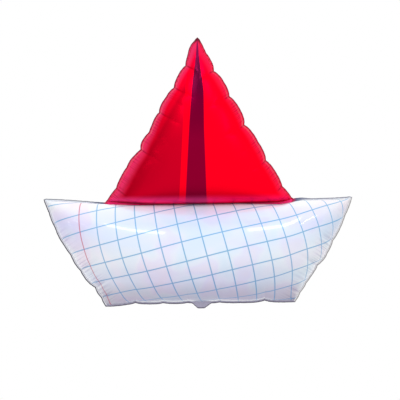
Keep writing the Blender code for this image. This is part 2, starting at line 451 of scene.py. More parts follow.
def add_node(
    tree: bpy.types.NodeTree,
    kind: str,
    inputs: Mapping[str | int, object] | None = None,
    stops: Stops = (),
    **settings: object,
) -> bpy.types.Node:
    """Adds a node with its settings, its values and its links.

    A MapRange's inputs are the value, the range that it has and the range that it is carried to.
    A Mix's are the share at 0, two numbers at 2 and 3 or two colours at 6 and 7, and its mixed
    colour is output 2.

    Args:
        tree: The tree that it joins.
        kind: Its type, without the words ShaderNode.
        inputs: Its inputs, as in set_inputs.
        stops: Places and sRGB hex colours of a colour ramp.
        settings: Its properties.

    Returns:
        The node.
    """
    node = tree.nodes.new("ShaderNode" + kind)
    for name, value in settings.items():
        setattr(node, name, value)
    set_inputs(tree, node, inputs or {})
    for number, (place, code) in enumerate(stops):
        elements = node.color_ramp.elements
        stop = elements[number] if number < 2 else elements.new(place)
        stop.position = place
        stop.color = linear(code)
    return node


def new_finish(name: str) -> tuple[bpy.types.Material, bpy.types.NodeTree, bpy.types.Node]:
    """A material with a Principled shader, its tree and that shader."""
    material = bpy.data.materials.new(name)
    material.use_nodes = True
    return material, material.node_tree, material.node_tree.nodes["Principled BSDF"]


@dataclass(frozen=True)
class FilmPleats:
    """Fine pleats of thin film, square to the seams, where the seams gather it.

    Attributes:
        pitch: Mean distance between pleats along the seam, in mm. Real ones are 1 to 3 mm apart;
            they are drawn coarser, so that they show.
        length: How far they run in from the seam, in mm.
        height: Height of the pleats in mm.
        patch: Size along the seam of the patches that have pleats, in mm.
        top: Level above which the film is smooth.
        fade: Half the height over which it becomes so.
    """

    pitch: float = 10.0
    length: float = 52.0
    height: float = 1.1
    patch: float = 70.0
    top: float = 0.205
    fade: float = 0.015

    def add(self, tree: bpy.types.NodeTree) -> tuple[bpy.types.Node, bpy.types.Node]:
        """Adds the bumped normal, and a mask of painted shade in the low parts of the pleats and
        along the large creases.
        """
        add = partial(add_node, tree)
        seam, fold = (add("UVMap", uv_map=layer.value) for layer in (Layer.SEAM, Layer.FOLD))
        inward = add("SeparateXYZ", {0: seam}).outputs[1]
        level = add("SeparateXYZ", {0: add("TexCoord").outputs["Object"]}).outputs[2]
        narrow = (2 / (self.pitch * MM), 0.25 / (self.length * MM), 1.0)
        wide = (1 / (self.patch * MM), 1 / (self.patch * MM), 1.0)
        pleats, patches = (
            add(
                "TexNoise",
                {
                    "Vector": add("Mapping", {"Vector": seam, "Scale": scale}),
                    "Scale": 1.0,
                    "Detail": detail,
                    "Roughness": 0.4,
                },
                noise_dimensions="2D",
            )
            for scale, detail in ((narrow, 1.0), (wide, 0.0))
        )
        chosen, fading, low = (
            add("MapRange", {0: value, 1: start, 2: end, 3: first, 4: last}, **SMOOTH)
            for value, start, end, first, last in (
                (patches, 0.34, 0.56, 0.25, 1.0),
                (inward, 0.0, self.length * MM, 1.0, 0.0),
                (pleats, 0.36, 0.58, 0.55, 0.0),
            )
        )
        below = add("MapRange", {0: level, 1: self.top + self.fade, 2: self.top - self.fade})
        mask = chosen
        for factor in (fading, below):
            mask = add("Math", {0: mask, 1: factor}, operation="MULTIPLY")
        # The low parts of the pleats and the crease lines make a mask of painted shade.
        height, valley_shade_mask = (
            add("Math", {0: part, 1: mask}, operation="MULTIPLY") for part in (pleats, low)
        )
        bump = add("Bump", {"Height": height, "Distance": self.height * MM, "Strength": 1.0})
        creases = add("SeparateXYZ", {0: fold})
        return bump, add("Math", {0: valley_shade_mask, 1: creases}, operation="MAXIMUM")


@dataclass(frozen=True)
class PearlRuledFoil:
    """Pearl-white ink on metallised nylon film, printed as ruled paper.

    The film is glossy from its clear outer layer, which gives the crisp window-like glints. The
    pearl ink over bright metal shows soft pink, sky and lavender clouds some 70 mm wide, and
    reads paler than paper because the metal under it throws the light back.

    Attributes:
        line: Width of a ruled line, in mm.
        cover: Strength of the ruled lines' ink.
        cloud: Size of the clouds, in mm.
        ground: Colours along the hull, from one of the ends to the other.
        turned: Painted shade and tint up the hull, between the levels: greyer towards the foot, a
            bluer grey band high up, paler at the top seam and white between.
    """

    line: float = 3.1
    cover: float = 0.78
    cloud: float = 70.0
    ends: tuple[float, float] = (-0.39, 0.39)
    levels: tuple[float, float] = (0.017, 0.268)
    ground: Stops = (
        (0.0, "#f4f2f4"), (0.18, "#fafbff"), (0.45, "#eef5ff"), (0.68, "#edf6ff"),
        (0.86, "#f3fafa"), (1.0, "#efefea"),
    )
    # Painted shade and tint by height: greyer at the foot, which gets less light, and bluer grey
    # high up, where the film turns upwards.
    turned: Stops = (
        (0.0, "#d7d7d4"), (0.12, "#e9e5e4"), (0.24, "#fffdff"), (0.50, "#ffffff"),
        (0.66, "#f1f3ff"), (0.82, "#e3e9ff"), (0.92, "#eeeffc"), (1.0, "#f8f8fa"),
    )
    sheen: Stops = (
        (0.28, "#f2fbff"), (0.44, "#f8fcff"), (0.52, "#fdfcff"), (0.62, "#fcf5ff"),
        (0.74, "#fff4fb"),
    )
    ruling_ink: str = "#389fd2"
    margin_ink: str = "#c82654"
    # Colour of the painted shade in the pleats and along the large creases.
    valley_shade_colour: str = "#b9b4ce"
    pleats: FilmPleats = FilmPleats()

    def lines(self, tree: bpy.types.NodeTree) -> tuple[bpy.types.Node, bpy.types.Node]:
        """Adds the ruled lines, which lie where either ruling coordinate is whole.

        The upright line at -1 is the margin, and there are none to the left of it.

        Args:
            tree: The finish's tree.

        Returns:
            Masks of the blue ruling and of the red margin.
        """
        add = partial(add_node, tree)
        places = add("SeparateXYZ", {0: add("UVMap", uv_map=Layer.RULING.value)}).outputs
        masks = []
        for axis, pitch in enumerate(SQUARE):
            off = add("Math", {0: places[axis], 1: 0.5}, operation="PINGPONG")
            half = self.line / 2 / pitch
            edge = {0: off, 1: half * 1.4, 2: half * 0.6, 3: 0.0, 4: self.cover}
            masks.append(add("MapRange", edge))
        right = add("Math", {0: places[0], 1: -0.5}, operation="GREATER_THAN")
        near = add("Math", {0: places[0], 1: -1.0, 2: 0.3}, operation="COMPARE")
        upright, margin = (
            add("Math", {0: masks[0], 1: side}, operation="MULTIPLY") for side in (right, near)
        )
        return add("Math", {0: upright, 1: masks[1]}, operation="MAXIMUM"), margin

    def build(self) -> bpy.types.Material:
        """Builds the material."""
        material, tree, shader = new_finish("pearl_ruled_foil")
        add = partial(add_node, tree)
        where = add("TexCoord").outputs["Object"]
        places = add("SeparateXYZ", {0: where}).outputs
        along, upward = (
            add("MapRange", {0: place, 1: start, 2: end})
            for place, (start, end) in ((places[0], self.ends), (places[2], self.levels))
        )
        texture = {"Scale": 1 / (self.cloud * MM), "Detail": 1.0, "Roughness": 0.4}
        clouds = add("TexNoise", {"Vector": where, **texture, "Distortion": 0.5})
        # The turned ramp is painted shade and tint by height.
        ground, turned, sheen = (
            add("ValToRGB", {0: share}, stops)
            for share, stops in ((along, self.ground), (upward, self.turned), (clouds, self.sheen))
        )
        colour = ground.outputs[0]
        for tint in (turned, sheen):
            colour = add("Mix", {0: 1.0, 6: colour, 7: tint}, **TINTED).outputs[2]
        for mask, code in zip(self.lines(tree), (self.ruling_ink, self.margin_ink)):
            colour = add("Mix", {0: mask, 6: colour, 7: linear(code)}, **LAID_OVER).outputs[2]
        bump, valley_shade_mask = self.pleats.add(tree)
        # Painted shade darkens the low parts of the pleats and the large creases.
        shaded = add("Mix", {0: valley_shade_mask, 6: colour, 7: linear(self.valley_shade_colour)}, **TINTED)
        looks = {"Base Color": shaded.outputs[2], "Normal": bump, "Coat Normal": bump}
        looks |= {"Metallic": 0.10, "Roughness": 0.35, "Coat Weight": 1.0, "Coat Roughness": 0.04}
        set_inputs(tree, shader, looks)
        return material


@dataclass(frozen=True)
class RedFoldedFoil:
    """Transparent red ink on metallised nylon film, printed as folded paper.

    There is no white under the ink, so the film is a plain red metal with a satin lustre, which
    turns pink where it is seen edge-on. The fold is drawn by fields of ink: a panel that darkens
    downwards, its bright folded edge and a maroon opening. Over them lie painted reflections: pink
    bands along the side seams, where the film turns edge-on to the white room, and along the base,
    where it mirrors the hull. A painted shade lies in from the left seam.

    Attributes:
        folded_edge: Width of the bright edge beside the opening, in mm.
        right_reflection_run: How far in from the right seam the painted reflection reaches, in mm.
        crisp: Width of the change from one ink to the next, in mm.
        panel: Inks up the shaded panel, as bright and opening are up their own fields.
        lobe_shade: Painted shade of the panel over the lobe_shade_run in from the left seam,
            between the lobes and the flat middle.
        foot: Painted reflection of the hull along the base, darker where it lies over the opening,
            over the base_reflection_reach to either side of the opening's edge.
    """

    base: float = 0.272
    height: float = 0.420
    folded_edge: float = 16.5
    right_reflection_run: float = 22.0
    crisp: float = 1.2
    panel: Stops = (
        (0.0, "#c70023"), (0.39, "#cf0022"), (0.51, "#dd0023"), (0.63, "#f00026"),
        (0.75, "#ff002b"), (0.95, "#f60048"),
    )
    bright: Stops = ((0.0, "#ff001e"), (0.60, "#ff001e"), (0.78, "#ff0024"), (0.95, "#ee0040"))
    opening: Stops = (
        (0.0, "#8c002a"), (0.30, "#88002c"), (0.39, "#88002e"), (0.51, "#78002b"),
        (0.63, "#70002c"), (0.72, "#5c062c"), (0.80, "#600a30"), (0.95, "#84184e"),
    )
    # Painted shade, darker between the left lobes and the flat middle of the sail.
    lobe_shade_run: float = 0.060
    lobe_shade: Stops = ((0.0, "#ffffff"), (0.40, "#ffffff"), (0.55, "#e4e4e4"), (1.0, "#ffffff"))
    # The foot ramp is a painted reflection of the hull along the sail's base.
    base_reflection_reach: float = 0.2
    foot: Stops = (
        (0.0, "#ff3c80"), (0.49, "#f22a6c"), (0.51, "#c83068"), (0.63, "#c83068"),
        (0.65, "#f82468"), (0.80, "#ff1456"), (1.0, "#ff1456"),
    )
    # Colours of the painted reflections along the left and right seams.
    left_reflection_colour: str = "#ea386c"
    right_reflection_colour: str = "#f62a58"
    # Colour of the painted shade in the pleats and along the large creases.
    valley_shade_colour: str = "#af7790"
    pleats: FilmPleats = FilmPleats(pitch=8.0, length=30.0, height=0.9, patch=50.0, top=0.560)

    def build(self) -> bpy.types.Material:
        """Builds the material."""
        material, tree, shader = new_finish("red_folded_foil")
        add = partial(add_node, tree)
        level = add("SeparateXYZ", {0: add("TexCoord").outputs["Object"]}).outputs[2]
        height = add("MapRange", {0: level, 1: self.base, 2: self.base + self.height})
        past, apart = (
            add("SeparateXYZ", {0: add("UVMap", uv_map=layer.value)}).outputs
            for layer in (Layer.PANEL, Layer.SIDES)
        )
        half, edge = self.crisp * MM / 2, -self.folded_edge * MM
        unfolded, entered, short_of, inward, across = (
            add("MapRange", {0: place, 1: start, 2: end})
            for place, start, end in (
                (past[0], edge - half, edge + half),
                (past[0], -half, half),
                (past[1], half, -half),
                (apart[0], 0.0, self.lobe_shade_run),
                (past[0], -self.base_reflection_reach, self.base_reflection_reach),
            )
        )
        inside = add("Math", {0: entered, 1: short_of}, operation="MULTIPLY")
        panel, bright, opening, lobe_shade, foot = (
            add("ValToRGB", {0: share}, stops)
            for share, stops in (
                (height, self.panel),
                (height, self.bright),
                (height, self.opening),
                (inward, self.lobe_shade),
                (across, self.foot),
            )
        )
        # The left band of painted reflection narrows up the sail.
        reach = add("MapRange", {0: height, 1: 0.28, 2: 0.58, 3: 0.060, 4: 0.032})
        nearby = add("Math", {0: apart[0], 1: reach}, operation="DIVIDE")
        # Painted reflections: pink bands along the side seams, where the film turns edge-on to the
        # white room, and along the base, where it mirrors the hull.
        left_reflection_band, right_reflection_band, base_reflection_band = (
            add("MapRange", {0: distance, 1: full, 2: gone, 3: strength, 4: 0.0}, **SMOOTH)
            for distance, full, gone, strength in (
                (nearby, 0.10, 0.55, 0.90),
                (apart[1], 0.0, self.right_reflection_run * MM, 0.85),
                (height, 0.015, 0.060, 0.90),
            )
        )
        # Painted shade darkens the panel in from the left seam.
        colour = add("Mix", {0: 1.0, 6: panel, 7: lobe_shade}, **TINTED).outputs[2]
        for mask, ink in (
            (unfolded, bright),
            (left_reflection_band, linear(self.left_reflection_colour)),
            (right_reflection_band, linear(self.right_reflection_colour)),
            (inside, opening),
            (base_reflection_band, foot),
        ):
            colour = add("Mix", {0: mask, 6: colour, 7: ink}, **LAID_OVER).outputs[2]
        bump, valley_shade_mask = self.pleats.add(tree)
        # Painted shade darkens the low parts of the pleats and the large creases.
        creased = add("Mix", {0: valley_shade_mask, 6: colour, 7: linear(self.valley_shade_colour)}, **TINTED)
        looks = {"Base Color": creased.outputs[2], "Normal": bump}
        looks |= {"Metallic": 1.0, "Specular Tint": linear("#ffb4bc"), "Roughness": 0.28}
        set_inputs(tree, shader, looks)
        return material


@dataclass(frozen=True)
class HeatSealedFilm:
    """Two layers of metallised film fused flat, grey where bare and dark where printed.

    The hot bar leaves a fine cross-wise ribbing about 1 mm apart, drawn here coarser.

    Attributes:
        rib: Size of the ribs in mm.
        height: Their height in mm.
    """

    rib: float = 3.0
    height: float = 0.4

    def build(self) -> bpy.types.Material:
        """Builds the material."""
        material, tree, shader = new_finish("heat_sealed_film")
        add = partial(add_node, tree)
        where = add("TexCoord").outputs["Object"]
        ribs = add("TexNoise", {"Vector": where, "Scale": 1 / (self.rib * MM), "Detail": 0.0})
        bump = add("Bump", {"Height": ribs, "Distance": self.height * MM, "Strength": 0.6})
        ink = add("Attribute", attribute_name=Layer.INK.value)
        looks = {"Base Color": ink, "Normal": bump, "Metallic": 0.7, "Roughness": 0.35}
        set_inputs(tree, shader, looks)
        return material


class Pillow(ABC):
    """A panel of film, front and back, that gas swells between straight seams.

    Attributes:
        marks: For each seam in order, its measured puckers, as shares of its length and depths.
        first_seed: Seed of the first seam's small puckers.
        crease_runs: How far in from the right and left seams the large creases carry lines of
            painted shade.
        columns: Steps of its grid across, and rows up.
    """

    name: str
    marks: tuple[Marks, ...]
    swings: tuple[tuple[Swing, ...], ...]
    overhangs: tuple[float, ...]
    first_seed: int
    crease_runs: tuple[float, float]
    columns: int
    rows: int

    @abstractmethod
    def plain(self) -> tuple[Seam, ...]:
        """The ungathered seams, in order from the lowest, counter-clockwise from the front."""

    @abstractmethod
    def swell(self, flat: Array, seams: Sequence[Seam]) -> Array:
        """Half depth of the smooth pillow."""

    @abstractmethod
    def lift(self, across: Array, up: Array) -> Array:
        """How far points are raised, by their shares across the panel and up it."""

    @abstractmethod
    def prints(self, flat: Array) -> dict[Layer, Array]:
        """The UV maps that the print needs."""

    def seams(self) -> tuple[Seam, ...]:
        """The seams with their puckers, swings and overhangs."""
        parts = zip(self.plain(), self.marks, self.swings, self.overhangs)
        return tuple(
            replace(
                seam,
                overhang=overhang,
                puckers=puckered(marks, seam.length, self.first_seed + number),
                swings=swings,
            )
            for number, (seam, marks, swings, overhang) in enumerate(parts)
        )

    def grid(self) -> tuple[Array, Array, Array]:
        """Flat points from the lowest seam to the top, and their shares across and up."""
        low, right, *_, left = self.plain()
        across = np.tile(crowded_ends(self.columns), (self.rows + 1, 1))
        up = np.tile(crowded_ends(self.rows)[:, None], (1, self.columns + 1))
        lower, upper = (
            np.array(start) + (np.array(end) - np.array(start)) * across[..., None]
            for start, end in ((low.start, low.end), (left.start, right.end))
        )
        return lower + (upper - lower) * up[..., None], across, up

    def surface(self, gathered: bool = True) -> Array:
        """Points on the inflated front, with or without the puckers."""
        flat, across, up = self.grid()
        seams = self.seams() if gathered else self.plain()
        return inflate(flat, seams, self.swell(flat, seams), self.lift(across, up))

    def build(self, finish: bpy.types.Material) -> bpy.types.Object:
        """Builds and dresses the pillow."""
        flat, _, _ = self.grid()
        _, right, *_, left = self.seams()
        layers = self.prints(flat)
        layers[Layer.SEAM] = seam_places(flat, (right, left))
        layers[Layer.FOLD] = fold_lines(flat, dict(zip((right, left), self.crease_runs)))
        return as_piece(closed_film(self.name, self.surface(), layers), finish)


@dataclass
class Hull(Pillow):
    """The boat's hull: a round pillow that narrows to a horn at either end.

    Sizes are at the inner edge of the seams, which are the foot, right, top and left ones.

    Attributes:
        left_rise: Height of the top seam's climb to the left horn, and where it starts and ends.
        end_run: How far in from an end seam the hull reaches its full depth.
        print_turn: Turn of the print against the hull, in degrees.
        print_start: Where the ruling starts, along the hull and down it, from its middle.
        print_reach: Arc from the middle to a seam, at which the widening and the shift hold.
        widening: Shares by which the rows widen at the top and the bottom.
        shift: How far they shift to the right there.
        spread: How far the ruling spreads 0.3 from the middle.
    """

    name: str = "hull_pillow"
    foot_width: float = 0.484
    foot_level: float = 0.017
    height: float = 0.251
    depth: float = 0.250
    left_reach: float = 0.398
    right_reach: float = 0.391
    left_rise: tuple[float, float, float] = (0.018, 0.110, 0.370)
    right_rise: tuple[float, float, float] = (0.0113, 0.198, 0.264)
    end_run: float = 0.240
    left_bow: float = 0.017
    right_bow: float = 0.016
    overhangs: tuple[float, ...] = (0.0, 0.0, 0.0110, 0.0)
    crease_runs: tuple[float, float] = (0.038, 0.038)
    print_turn: float = 13.7
    print_start: tuple[float, float] = (0.25, 0.1457)
    print_reach: float = 0.197
    widening: tuple[float, float] = (0.1345, 0.2203)
    shift: tuple[float, float] = (-0.0062, 0.0024)
    spread: float = 0.0115
    first_seed: int = 11
    columns: int = 320
    rows: int = 120
    marks: tuple[Marks, ...] = (
        ((0.15, 0.005), (0.30, 0.003), (0.43, 0.003), (0.60, 0.003), (0.84, 0.006)),
        (
            (0.085, 0.004), (0.18, 0.002), (0.36, 0.006), (0.50, 0.002), (0.61, 0.005),
            (0.85, 0.002),
        ),
        (),
        (
            (0.10, 0.002), (0.235, 0.002), (0.40, 0.001), (0.49, 0.003), (0.645, 0.004),
            (0.83, 0.008), (0.93, 0.005),
        ),
    )
    swings: tuple[tuple[Swing, ...], ...] = (
        (Swing(0.03, -0.0025, 0.035),),
        (Swing(0.25, 0.0070, 0.045), Swing(0.68, 0.0020, 0.060)),
        (),
        (Swing(0.25, -0.0015, 0.055), Swing(0.47, 0.0015, 0.030), Swing(1.0, -0.0040, 0.030)),
    )

    @property
    def top(self) -> float:
        """Level of the hull's top seam."""
        return self.foot_level + self.height

    def plain(self) -> tuple[Seam, ...]:
        """The foot, right, top and left seams."""
        half = self.foot_width / 2
        left_foot, right_foot = (-half, self.foot_level), (half, self.foot_level)
        left_horn, right_horn = (-self.left_reach, self.top), (self.right_reach, self.top)
        return (
            Seam(left_foot, right_foot),
            Seam(right_foot, right_horn, self.right_bow, self.end_run),
            Seam(right_horn, left_horn),
            Seam(left_horn, left_foot, self.left_bow, self.end_run),
        )

    def rise(self, x: Array) -> Array:
        """How far the top seam climbs towards a horn, by a smooth step on either side."""
        sides = [
            height * ease((np.abs(x) - start) / (end - start))
            for height, start, end in (self.left_rise, self.right_rise)
        ]
        return np.where(x < 0, sides[0], sides[1])

    def lift(self, across: Array, up: Array) -> Array:
        """The top seam's climb, which eases straight down to nothing at the foot."""
        flat, _, _ = self.grid()
        return self.rise(flat[..., 0]) * up

    def swell(self, flat: Array, seams: Sequence[Seam]) -> Array:
        """Half depth of the smooth pillow.

        A circle across the hull, which is twice the root of the distances below and above over
        the height, times a quarter of an ellipse over end_run in from either end seam.
        """
        foot, right, top, left = seams
        section = 2 * np.sqrt(foot.distance(flat) * top.distance(flat)) / self.height
        for seam in (left, right):
            missing = np.maximum(1 - seam.distance(flat) / self.end_run, 0.0)
            section = section * np.sqrt(1 - missing**2)
        return self.depth / 2 * section

    def prints(self, flat: Array) -> dict[Layer, Array]:
        """Where the print's ruled lines fall: they lie where either coordinate is whole.

        The place of a point on the flat film is its arc along its row from the middle column, and
        its arc along its column from the middle row. The rows widen and shift as the square of
        how near a seam is, where the film is gathered, and spread as the cube of the arc.
        """
        smooth = self.surface(gathered=False)
        middle = self.rows // 2
        arcs = []
        for axis in (1, 0):
            steps = np.linalg.norm(np.diff(smooth, axis=axis), axis=-1)
            steps = np.insert(steps, 0, 0.0, axis=axis)
            arcs.append(np.cumsum(steps, axis=axis))
        x = smooth[middle, :, 0]
        column = int(np.searchsorted(x, 0.0)) - 1
        part = -x[column] / (x[column + 1] - x[column])
        start = arcs[0][:, column] * (1 - part) + arcs[0][:, column + 1] * part
        u = arcs[0] - start[:, None]
        v = arcs[1] - arcs[1][middle]
        above, below = (np.maximum(side * v, 0) / self.print_reach for side in (1, -1))
        u = u * (1 + self.widening[0] * above**2 + self.widening[1] * below**2)
        u = u + self.shift[0] * above**2 + self.shift[1] * below**2 + self.spread * (u / 0.3) ** 3
        turn = math.radians(self.print_turn)
        across = u * math.cos(turn) + v * math.sin(turn)
        down = u * math.sin(turn) - v * math.cos(turn)
        places = np.stack([across, down], axis=-1) + np.array(self.print_start)
        return {Layer.RULING: places / (np.array(SQUARE) * MM)}


@dataclass
class Sail(Pillow):
    """The boat's sail: a three-cornered pillow that stands on the hull's top seam.

    Sizes are at the inner edge of the seams, which are the base, right and left ones.

    Attributes:
        fullness: How flat the face is towards the seams; see swell.
        lean: How far right of the middle the tip lies.
        weld: Height of the sealed film between the hull and the sail.
        opening_left: The printed opening's left edge, as shares of the height and places along X.
        opening_right: Its right edge.
    """

    hull: Hull
    name: str = "sail_pillow"
    width: float = 0.474
    height: float = 0.424
    depth: float = 0.185
    fullness: tuple[float, float, float] = (0.26, 0.38, 0.38)
    lean: float = 0.003
    weld: float = 0.004
    overhangs: tuple[float, ...] = (0.0060, 0.0, 0.0)
    crease_runs: tuple[float, float] = (0.018, 0.038)
    first_seed: int = 31
    columns: int = 150
    rows: int = 260
    opening_left: Marks = (
        (0.0, -0.0355), (0.5, -0.0215), (0.7, -0.0146), (0.755, -0.0116), (0.82, -0.0072),
        (0.90, -0.0030), (0.99, -0.0003),
    )
    opening_right: Marks = (
        (0.0, 0.0188), (0.45, 0.0145), (0.68, 0.0152), (0.755, 0.0118), (0.82, 0.0078),
        (0.90, 0.0044), (0.99, 0.0020),
    )
    marks: tuple[Marks, ...] = (
        (),
        (
            (0.085, 0.006), (0.25, 0.008), (0.36, 0.002), (0.475, 0.010), (0.65, 0.008),
            (0.81, 0.010), (0.915, 0.003),
        ),
        (
            (0.155, 0.007), (0.29, 0.008), (0.355, 0.002), (0.445, 0.006), (0.565, 0.003),
            (0.668, 0.010), (0.79, 0.003), (0.915, 0.004),
        ),
    )
    swings: tuple[tuple[Swing, ...], ...] = (
        (),
        (Swing(0.20, 0.0020, 0.060), Swing(0.45, 0.0020, 0.030)),
        (
            Swing(0.050, -0.0055, 0.022), Swing(0.24, 0.0025, 0.060), Swing(0.550, 0.0065, 0.040),
            Swing(0.700, 0.0040, 0.020), Swing(0.90, 0.0020, 0.050),
        ),
    )

    @property
    def base(self) -> float:
        """Level of the sail's base seam."""
        return self.hull.top + self.weld

    @property
    def tip(self) -> tuple[float, float]:
        """Where the side seams meet."""
        return (self.lean, self.base + self.height)

    def plain(self) -> tuple[Seam, ...]:
        """The base, right and left seams."""
        left, right = (-self.width / 2, self.base), (self.width / 2, self.base)
        return Seam(left, right), Seam(right, self.tip), Seam(self.tip, left)

    def lift(self, across: Array, up: Array) -> Array:
        """The climb of the hull's top seam below, which eases to nothing at the tip."""
        return self.hull.rise(self.width * (across - 0.5)) * (1 - up)

    def swell(self, flat: Array, seams: Sequence[Seam]) -> Array:
        """Half depth of the smooth pillow: the product of powers of its seam distances.

        Each distance is a share of its value at the middle of the three corners. The powers are
        the fullness; the lower one is, the flatter the face and the steeper its edge there.
        """
        middle = np.mean([seam.start for seam in seams], axis=0)
        product = np.ones(flat.shape[:-1])
        for seam, power in zip(seams, self.fullness):
            product = product * (seam.distance(flat) / seam.distance(middle)) ** power
        return self.depth / 2 * product

    def prints(self, flat: Array) -> dict[Layer, Array]:
        """How far right of the opening's edges each point lies, and how far in from the sides.

        Each edge is a broken line through its marks, as it is seen on the inflated sail.
        """
        shape = self.surface()
        up = (shape[..., 2] - self.base) / self.height
        edges = []
        for marks in (self.opening_left, self.opening_right):
            heights, places = zip(*marks)
            edges.append(shape[..., 0] - np.interp(up, heights, places))
        _, right, left = self.plain()
        sides = [left.distance(flat), right.distance(flat)]
        return {Layer.PANEL: np.stack(edges, axis=-1), Layer.SIDES: np.stack(sides, axis=-1)}


@dataclass
class SealedRim:
    """The flat sealed film round the outline, with the tail, and the weld under the sail.

    Attributes:
        overlap: How far the rim and the weld reach in under the pillows.
        clear: How far past the sail's corners the hull's own rim starts.
        corner_reach: The most that the rim stands out at a corner.
        tail_left: How far left of the middle the tail starts along the foot.
        tail_tip: Width of the tail's lower edge.
        ruffle: How far the rim's edge waves to the front and the back.
        ruffle_patch: Length over which the waves grow and shrink.
        bare: Shares of the rim's width at which the print ends and the bare film starts.
        navy_run: How far past the sail's corners the hull's rim is navy, and red over red_run.
        web: How much wider it is beside the right corner.
        tip_run: How far down from the tip the rim is dark.
        weld_end: How far past the sail's corners the weld runs.
        weld_steps: Points along it.
    """

    hull: Hull
    sail: Sail
    width: float = 0.005
    thickness: float = 0.0003
    overlap: float = 0.0012
    clear: float = 0.002
    corner_reach: float = 0.006
    tail_drop: float = 0.012
    tail_left: float = 0.022
    tail_right: float = 0.026
    tail_tip: float = 0.018
    ruffle: float = 0.0010
    ruffle_pitch: float = 0.013
    ruffle_patch: float = 0.19
    bare: tuple[float, float] = (0.54, 0.62)
    navy_run: float = 0.060
    red_run: float = 0.016
    web: float = 0.004
    tip_run: float = 0.016
    weld_end: float = 0.004
    weld_steps: int = 160
    weld_ink: str = "#ff2878"

    def outline(self) -> tuple[Array, Array, Array, Array]:
        """Follows the film's edge round the outline, counter-clockwise from the front.

        Returns:
            Points on the edge as (x, z), the way out at each, how far out the rim goes, and its
            inks: the print's beside the film, then the bare edge's.
        """
        hull, sail = self.hull.surface()[..., [0, 2]], self.sail.surface()[..., [0, 2]]
        foot, right, top, left = self.hull.plain()
        _, sail_right, sail_left = self.sail.plain()
        half = self.sail.width / 2
        free = hull[-1][::-1]
        runs = (
            (hull[0], foot, ("#aaa6ba", "#5c5868")),
            (hull[:, -1], right, ("#dedde0", "#a3a09f")),
            (free[free[:, 0] > half + self.clear], top, ("#dfe3ea", "#8f90a0")),
            (sail[:-1, -1], sail_right, ("#f02450", "#9c0c34")),
            (sail[:0:-1, 0], sail_left, ("#e83060", "#841a3a")),
            (free[free[:, 0] < -half - self.clear], top, ("#e4eaf4", "#8c9099")),
            (hull[::-1, 0], left, ("#dcdce4", "#4c4c56")),
        )
        points, ways, inks, reaches = [], [], [], []
        for number, (run, seam, codes) in enumerate(runs):
            reach = np.full(len(run), self.width)
            way = np.tile(-seam.inward, (len(run), 1))
            before, after = runs[number - 1][1], runs[(number + 1) % len(runs)][1]
            for place, other in ((0, before), (-1, after)):
                both = -(seam.inward + other.inward) / (1 + seam.inward @ other.inward)
                most = self.corner_reach / self.width
                way[place] = both * min(1.0, most / np.linalg.norm(both))
            past, down = np.abs(run[:, 0]) - half, self.sail.tip[1] - run[:, 1]
            tints = [("#6a1a2c", down / self.tip_run)]
            if seam is top:
                tints = [("#2f3d6e", past / self.navy_run), ("#d8103a", past / self.red_run)]
                reach += self.web * (1 - ease(past / self.navy_run)) * (run[:, 0] > 0)
            ink = np.tile([linear(code) for code in codes], (len(run), 1, 1))
            for code, gone in tints:
                near = 1 - ease(gone)[:, None, None]
                ink = ink * (1 - near) + np.array(linear(code)) * near
            for whole, part in zip((points, ways, reaches, inks), (run, way, reach, ink)):
                whole.append(part)
        path, way, out, ink = (np.concatenate(parts) for parts in (points, ways, reaches, inks))
        # The tail hangs from the foot seam, whose way out is straight down between its corners.
        at_foot = (np.arange(len(path)) < len(hull[0])) & (way[:, 1] < -0.99)
        x = path[:, 0]
        left_slope = (x + self.tail_left) / (self.tail_left - self.tail_tip / 2)
        right_slope = (self.tail_right - x) / (self.tail_right - self.tail_tip / 2)
        drop = self.tail_drop * np.clip(np.minimum(left_slope, right_slope), 0.0, 1.0)
        out[at_foot] += drop[at_foot]
        return path, way, out, ink

    def ring(self) -> bpy.types.Mesh:
        """The rim as a flat profile carried round the outline.

        The profile is two thin walls from overlap inside the film's edge to the rim's own edge.
        It ruffles by a sine along the outline, more towards its edge, which a longer sine makes
        stronger and weaker.
        """
        path, way, out, ink = self.outline()
        steps = np.linalg.norm(np.diff(path, axis=0, append=path[:1]), axis=-1)
        turn = 2 * math.pi * np.cumsum(steps)
        wave = self.ruffle * np.sin(turn / self.ruffle_pitch)
        wave = wave * (0.6 + 0.4 * np.sin(turn / self.ruffle_patch))
        wall = (0.0, *self.bare, 1.0)
        shares = np.array((*wall, *wall[::-1]))
        walls = np.repeat([-self.thickness / 2, self.thickness / 2], len(wall))
        far = out[:, None] - (self.width + self.overlap) * (1 - shares)
        far[:, shares == 0.0] = -self.overlap
        x = path[:, None, 0] + way[:, None, 0] * far
        z = path[:, None, 1] + way[:, None, 1] * far
        y = walls + wave[:, None] * shares
        points = np.stack([x, y, z], axis=-1)
        ids = np.arange(x.size).reshape(x.shape)
        after, beside = np.roll(ids, -1, axis=0), np.roll(ids, -1, axis=1)
        across = np.roll(after, -1, axis=1)
        faces = np.stack([ids, beside, across, after], axis=-1).reshape(-1, 4)
        mesh = bpy.data.meshes.new("sealed_rim")
        mesh.from_pydata(points.reshape(-1, 3).tolist(), [], faces.tolist())
        ink_points(mesh, ink[:, (shares >= self.bare[1]).astype(int)])
        return mesh

